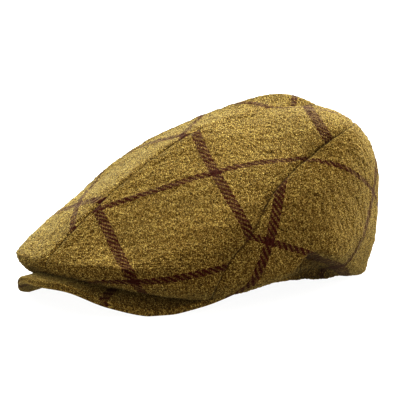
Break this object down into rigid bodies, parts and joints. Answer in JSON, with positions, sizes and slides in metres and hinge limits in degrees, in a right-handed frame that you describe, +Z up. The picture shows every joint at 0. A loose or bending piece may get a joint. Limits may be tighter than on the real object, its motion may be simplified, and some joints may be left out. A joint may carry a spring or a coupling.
{
  "type": "flat cap",
  "caption": "Soft flat cap in checked wool tweed: two-piece top drawn forward over a stiff cloth-covered peak, with side and back bands and an open underside for the head",
  "frame": {"origin": "Centre of the bounding box in plan, on the surface that the cap rests on", "axes": "+Z up; -Y is the front, where the peak is; +X is the wearer's left"},
  "size_m": [0.2098, 0.2822, 0.1222],
  "materials": {
    "wool_check": "matt brushed wool tweed with a dark windowpane check",
    "peak_cloth": "the same tweed drawn tight over a stiff board"
  },
  "bodies": {
    "root": {"crown_top_left": "wool_check", "crown_top_right": "wool_check", "side_band_left": "wool_check", "side_band_right": "wool_check", "peak": "peak_cloth"}
  },
  "joints": []
}
